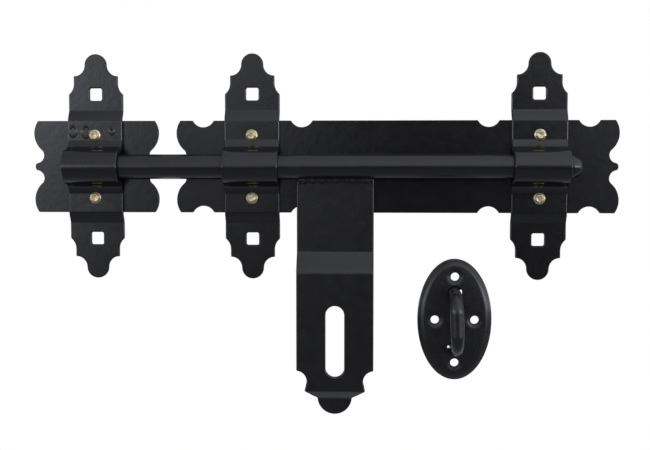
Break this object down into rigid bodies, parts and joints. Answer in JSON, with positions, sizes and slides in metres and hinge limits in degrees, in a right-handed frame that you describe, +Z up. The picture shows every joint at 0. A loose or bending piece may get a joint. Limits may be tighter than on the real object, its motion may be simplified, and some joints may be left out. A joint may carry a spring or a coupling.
{
  "type": "gate bolt",
  "caption": "Sliding gate bolt with scalloped plates, a hasp welded under its round rod and a loose oval staple plate for a padlock.",
  "frame": {"origin": "middle of the base plate's back face, level with the bolt's axis, on the gate's face", "axes": "+X along the bolt from the keeper to the gate, +Y into the gate, +Z up"},
  "size_m": [0.3811, 0.0286, 0.2333],
  "materials": {
    "black_paint": "semi-gloss black paint over sheet steel",
    "black_rod_paint": "semi-gloss black paint over round bar",
    "black_weld_paint": "black paint over rough weld",
    "yellow_rivet": "bright yellow passivated rivet, hammered"
  },
  "bodies": {
    "mounting": {"base_plate": "black_paint", "keeper_plate": "black_paint", "keeper_strap": "black_paint", "guide_strap_left": "black_paint", "guide_strap_right": "black_paint", "keeper_rivet_upper": "yellow_rivet", "keeper_rivet_lower": "yellow_rivet", "guide_rivet_left_upper": "yellow_rivet", "guide_rivet_left_lower": "yellow_rivet", "guide_rivet_right_upper": "yellow_rivet", "guide_rivet_right_lower": "yellow_rivet", "staple_plate": "black_paint", "staple": "black_rod_paint", "staple_weld_upper": "black_weld_paint", "staple_weld_lower": "black_weld_paint"},
    "rod": {"bolt_rod": "black_rod_paint"},
    "hasp": {"hasp": "black_paint", "hasp_weld": "black_weld_paint"}
  },
  "joints": [
    {"name": "bolt_slide", "type": "slide", "parent": "mounting", "child": "rod", "axis": [1, 0, 0], "range_m": [-0.0109, 0.048]},
    {"name": "hasp_swing", "type": "hinge", "parent": "rod", "child": "hasp", "pos_m": [0, -0.0114, 0], "axis": [-1, 0, 0], "range_deg": [0, 180]}
  ]
}
